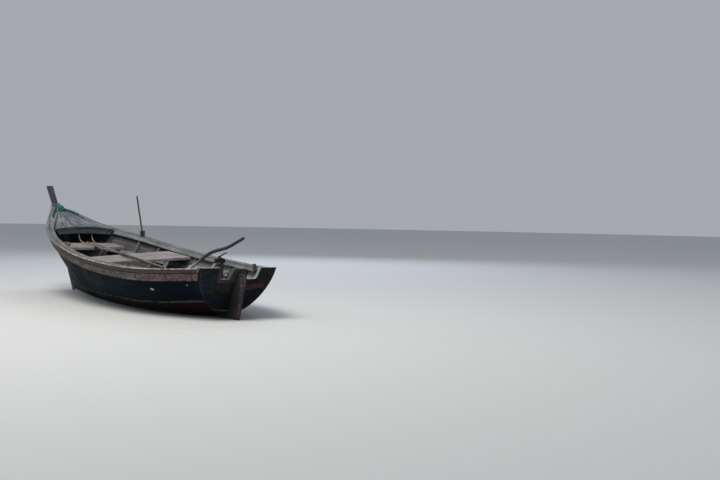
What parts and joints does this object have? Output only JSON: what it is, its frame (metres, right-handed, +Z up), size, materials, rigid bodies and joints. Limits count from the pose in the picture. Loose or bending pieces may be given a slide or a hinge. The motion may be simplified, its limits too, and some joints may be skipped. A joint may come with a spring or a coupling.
{
  "type": "open wooden longtail boat",
  "caption": "Open plank-on-frame wooden boat with raked stem, half foredeck, thwart boards and a notched transom with a raised centre pad.",
  "frame": {"origin": "on the waterline, on the centre line, amidships between the ends of the planking", "axes": "+X to the bow, +Y to port, +Z up; z = 0 is the water's surface"},
  "size_m": [6.311, 1.786, 1.744],
  "materials": {
    "hull_paint": "weathered dark blue-black paint on planks, with a stained band at the waterline",
    "transom_paint": "weathered charcoal paint, reddish band near the water",
    "dark_wood": "tarred and weathered timber",
    "weathered_wood": "sun-bleached timber with traces of pale pink paint",
    "pale_wood": "silver-grey dry boards",
    "red_wood": "dark reddish brown, worn",
    "teal_rope": "laid synthetic rope, faded teal",
    "pale_rope": "laid natural rope, dry and dirty",
    "dark_iron": "dull, rust-spotted"
  },
  "bodies": {
    "root": {"keel": "dark_wood", "deadwood": "dark_wood", "stem": "dark_wood", "quarter_knee_port": "dark_wood", "quarter_knee_starboard": "dark_wood", "foredeck_beam": "dark_wood", "floorboard_port": "dark_wood", "floorboard_centre": "dark_wood", "floorboard_starboard": "dark_wood", "pole_block": "dark_wood", "thwart_chock": "dark_wood", "sternpost": "red_wood", "trestle_cross_block": "red_wood", "transom": "transom_paint", "garboard_port": "hull_paint", "garboard_starboard": "hull_paint", "bottom_strake_port": "hull_paint", "bottom_strake_starboard": "hull_paint", "bilge_strake_port": "hull_paint", "bilge_strake_starboard": "hull_paint", "side_strake_port": "hull_paint", "side_strake_starboard": "hull_paint", "sheer_strake_port": "hull_paint", "sheer_strake_starboard": "hull_paint", "outwale_port": "weathered_wood", "outwale_starboard": "weathered_wood", "wale_port": "weathered_wood", "wale_starboard": "weathered_wood", "inwale_port": "weathered_wood", "inwale_starboard": "weathered_wood", "riser_port": "weathered_wood", "riser_starboard": "weathered_wood", "frame_1": "weathered_wood", "frame_2": "weathered_wood", "frame_3": "weathered_wood", "frame_4": "weathered_wood", "frame_5": "weathered_wood", "frame_6": "weathered_wood", "frame_7": "weathered_wood", "frame_8": "weathered_wood", "frame_9": "weathered_wood", "frame_10": "weathered_wood", "breasthook": "weathered_wood", "bow_thwart": "weathered_wood", "trestle_post": "weathered_wood", "foredeck_board_port": "pale_wood", "foredeck_board_centre": "pale_wood", "foredeck_board_starboard": "pale_wood", "thwart_board_aft": "pale_wood", "thwart_board_fore": "pale_wood", "thwart_stanchion": "pale_wood", "trestle_brace": "pale_wood", "trestle_lever": "dark_iron", "bent_bar": "dark_iron", "bow_rope": "teal_rope", "hanging_rope": "pale_rope", "hanging_rope_end": "pale_rope", "rope_coil": "pale_rope"},
    "pole": {"pole": "red_wood"},
    "oar": {"oar": "pale_wood"}
  },
  "joints": [
    {"name": "pole_lift", "type": "slide", "parent": "root", "child": "pole", "axis": [0.1368, 0.1132, 0.9841], "range_m": [0, 0.12]},
    {"name": "oar_lift", "type": "slide", "parent": "root", "child": "oar", "axis": [0, 0, 1], "range_m": [0, 0.1]}
  ]
}
